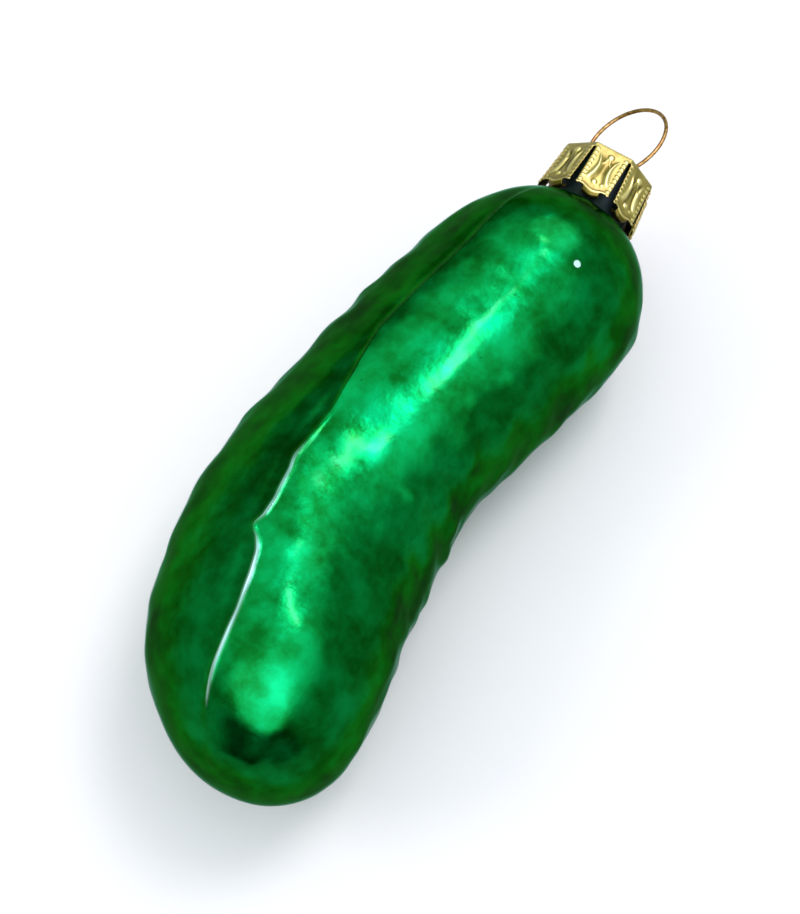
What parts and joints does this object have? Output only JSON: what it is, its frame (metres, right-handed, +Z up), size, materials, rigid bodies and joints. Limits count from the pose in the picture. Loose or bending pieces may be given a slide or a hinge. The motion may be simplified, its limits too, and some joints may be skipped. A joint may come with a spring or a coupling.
{
  "type": "pickle ornament",
  "caption": "Curved hollow glass pickle with an open neck, a stamped crown cap pushed over it and a wire hanger loop for hanging it on a branch.",
  "frame": {"origin": "middle of the bottom of the bounding box, with the ornament lying on its side", "axes": "+X along the neck's axis from the glass towards the hanger, +Z up from the surface it lies on, +Y towards the outside of the bend"},
  "size_m": [0.109, 0.0376, 0.0311],
  "materials": {
    "green_glass": "green lacquer over a silver lining, glossy with soft lumps",
    "cap_brass": "stamped sheet, satin gold",
    "wire_brass": "drawn wire, warm gold"
  },
  "bodies": {
    "glass_body": {"glass_body": "green_glass"},
    "crown_cap": {"crown_cap": "cap_brass"},
    "hanger_wire": {"hanger_wire": "wire_brass"}
  },
  "joints": [
    {"name": "cap_pull", "type": "slide", "parent": "glass_body", "child": "crown_cap", "axis": [1, 0, 0], "range_m": [0, 0.03]},
    {"name": "hanger_slide", "type": "slide", "parent": "crown_cap", "child": "hanger_wire", "axis": [1, 0, 0], "range_m": [0, 0.0035]}
  ]
}
